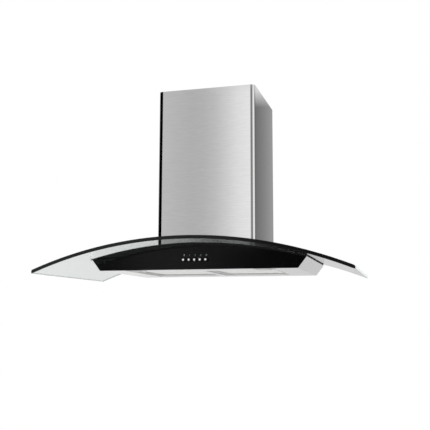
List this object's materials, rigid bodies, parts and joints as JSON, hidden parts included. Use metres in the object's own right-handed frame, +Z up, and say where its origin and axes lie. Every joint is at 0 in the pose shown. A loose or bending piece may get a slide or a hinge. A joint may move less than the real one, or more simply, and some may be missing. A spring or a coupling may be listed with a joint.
{
  "type": "range hood",
  "caption": "Wall-mounted range hood with an arched glass canopy, black front fascia with push buttons, underside grease filters and a telescopic stainless chimney.",
  "frame": {"origin": "on the wall plane, midway between the wall plate's two fixing holes", "axes": "+X along the wall to the viewer's right, +Y into the wall, +Z up; the cook stands on the -Y side"},
  "size_m": [0.9, 0.49, 0.5679],
  "materials": {
    "clear_glass": "polished float glass",
    "black_glass": "gloss black back-painted glass",
    "brushed_stainless": "fine horizontal brushing",
    "galvanised_sheet": "dull zinc-coated sheet",
    "filter_aluminium": "satin",
    "zinc_fastener": "zinc plated",
    "button_metal": "satin silver",
    "turned_steel": "turned and ground",
    "black_plastic": "fine matt",
    "grey_plastic": "moulded, matt",
    "white_plastic": "moulded, matt",
    "board_green": "solder mask",
    "black_rubber": "matt",
    "frosted_glass": "frosted",
    "motor_paint": "dipped varnish"
  },
  "bodies": {
    "root": {"box_pad": "black_rubber", "cable_gland": "black_plastic", "canopy_gasket": "black_rubber", "canopy_housing": "brushed_stainless", "capacitor": "white_plastic", "capacitor_clip": "galvanised_sheet", "chimney_lower": "brushed_stainless", "chimney_screws": "zinc_fastener", "chimney_seal": "black_rubber", "clamp_bolts": "zinc_fastener", "clamp_nuts": "zinc_fastener", "collar_screws": "zinc_fastener", "control_board": "board_green", "damper_pins": "turned_steel", "duct_collar": "black_plastic", "fascia_nuts": "zinc_fastener", "front_fascia": "black_glass", "glass_canopy": "clear_glass", "inlet_ring": "black_plastic", "lamp_bezel_left": "button_metal", "lamp_bezel_right": "button_metal", "lamp_can_left": "galvanised_sheet", "lamp_can_right": "galvanised_sheet", "lamp_driver": "white_plastic", "lamp_lens_left": "frosted_glass", "lamp_lens_right": "frosted_glass", "motor_body": "motor_paint", "motor_box": "galvanised_sheet", "motor_mounts": "black_rubber", "outlet_duct": "black_plastic", "scroll_housing": "galvanised_sheet", "switch_block": "black_plastic", "terminal_box": "black_plastic", "wall_plate": "galvanised_sheet"},
    "fan": {"fan_wheel": "grey_plastic", "motor_shaft": "turned_steel"},
    "flap_left": {"damper_flap_left": "black_plastic"},
    "flap_right": {"damper_flap_right": "black_plastic"},
    "upper_chimney": {"chimney_upper": "brushed_stainless", "chimney_bracket": "galvanised_sheet", "bracket_screws": "zinc_fastener"},
    "filter_left": {"filter_frame_left": "filter_aluminium", "filter_mesh_left": "filter_aluminium"},
    "filter_right": {"filter_frame_right": "filter_aluminium", "filter_mesh_right": "filter_aluminium"},
    "latch_left": {"filter_latch_left": "black_plastic"},
    "latch_right": {"filter_latch_right": "black_plastic"},
    "button_1": {"push_button_1": "button_metal"},
    "button_2": {"push_button_2": "button_metal"},
    "button_3": {"push_button_3": "button_metal"},
    "button_4": {"push_button_4": "button_metal"},
    "button_5": {"push_button_5": "button_metal"}
  },
  "joints": [
    {"name": "button_1_press", "type": "slide", "parent": "root", "child": "button_1", "axis": [0, 1, 0], "range_m": [0, 0.0025], "stiffness_N_per_m": 300, "springref_m": -0.001},
    {"name": "button_2_press", "type": "slide", "parent": "root", "child": "button_2", "axis": [0, 1, 0], "range_m": [0, 0.0025], "stiffness_N_per_m": 300, "springref_m": -0.001},
    {"name": "button_3_press", "type": "slide", "parent": "root", "child": "button_3", "axis": [0, 1, 0], "range_m": [0, 0.0025], "stiffness_N_per_m": 300, "springref_m": -0.001},
    {"name": "button_4_press", "type": "slide", "parent": "root", "child": "button_4", "axis": [0, 1, 0], "range_m": [0, 0.0025], "stiffness_N_per_m": 300, "springref_m": -0.001},
    {"name": "button_5_press", "type": "slide", "parent": "root", "child": "button_5", "axis": [0, 1, 0], "range_m": [0, 0.0025], "stiffness_N_per_m": 300, "springref_m": -0.001},
    {"name": "fan_spin", "type": "hinge", "parent": "root", "child": "fan", "pos_m": [-0.021, -0.11, 0.018], "axis": [0, 1, 0], "continuous": true},
    {"name": "flap_left_open", "type": "hinge", "parent": "root", "child": "flap_left", "pos_m": [-0.0036, -0.114, 0.152], "axis": [0, 1, 0], "range_deg": [0, 75]},
    {"name": "flap_right_open", "type": "hinge", "parent": "root", "child": "flap_right", "pos_m": [0.0036, -0.114, 0.152], "axis": [0, -1, 0], "range_deg": [0, 75]},
    {"name": "chimney_raise", "type": "slide", "parent": "root", "child": "upper_chimney", "axis": [0, 0, 1], "range_m": [0, 0.33]},
    {"name": "filter_left_swing", "type": "hinge", "parent": "root", "child": "filter_left", "pos_m": [-0.113, -0.0607, -0.1425], "axis": [1, 0, 0], "range_deg": [0, 75]},
    {"name": "latch_left_slide", "type": "slide", "parent": "filter_left", "child": "latch_left", "axis": [0, -1, 0], "range_m": [0, 0.005]},
    {"name": "filter_right_swing", "type": "hinge", "parent": "root", "child": "filter_right", "pos_m": [0.113, -0.0607, -0.1425], "axis": [1, 0, 0], "range_deg": [0, 75]},
    {"name": "latch_right_slide", "type": "slide", "parent": "filter_right", "child": "latch_right", "axis": [0, -1, 0], "range_m": [0, 0.005]}
  ]
}
